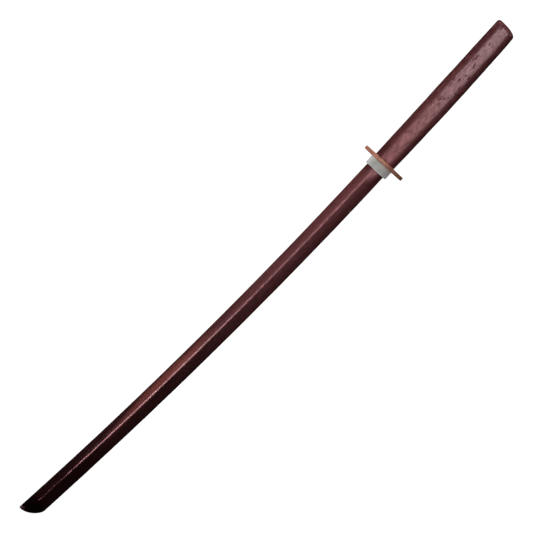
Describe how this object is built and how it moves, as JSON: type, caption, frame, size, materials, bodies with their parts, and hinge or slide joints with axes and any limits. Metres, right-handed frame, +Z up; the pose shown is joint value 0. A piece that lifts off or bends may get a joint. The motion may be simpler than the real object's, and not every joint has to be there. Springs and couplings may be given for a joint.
{
  "type": "wooden practice sword",
  "caption": "Curved one-piece wooden practice sword with a ridged blade, an oval handle, a round removable guard and a rubber ring that holds it.",
  "frame": {"origin": "bottom centre of the whole sword's box as it lies on its side; the guard's lowest point is at Z = 0", "axes": "+X along the sword towards the tip, square to the handle's end face; +Y towards the cutting edge (the convex side); +Z up, out of the side of the blade, square to the plane that the blade curves in"},
  "size_m": [1.0168, 0.073, 0.073],
  "materials": {
    "stained_wood": "dark red-brown stained hardwood under satin lacquer",
    "guard_plastic": "hard tan-brown plastic, slightly mottled, semi-matt",
    "stopper_rubber": "soft light grey rubber, matt"
  },
  "bodies": {
    "wood": {"wood_body": "stained_wood"},
    "guard": {"guard": "guard_plastic"},
    "stopper": {"stopper": "stopper_rubber"}
  },
  "joints": [
    {"name": "guard_slide", "type": "hinge", "parent": "wood", "child": "guard", "pos_m": [0.01521, -7.8278, 0.0365], "axis": [0, 0, -1], "range_deg": [0, 5.64]},
    {"name": "stopper_slide", "type": "hinge", "parent": "guard", "child": "stopper", "pos_m": [0.01521, -7.8278, 0.0365], "axis": [0, 0, -1], "range_deg": [0, 5.6]}
  ]
}
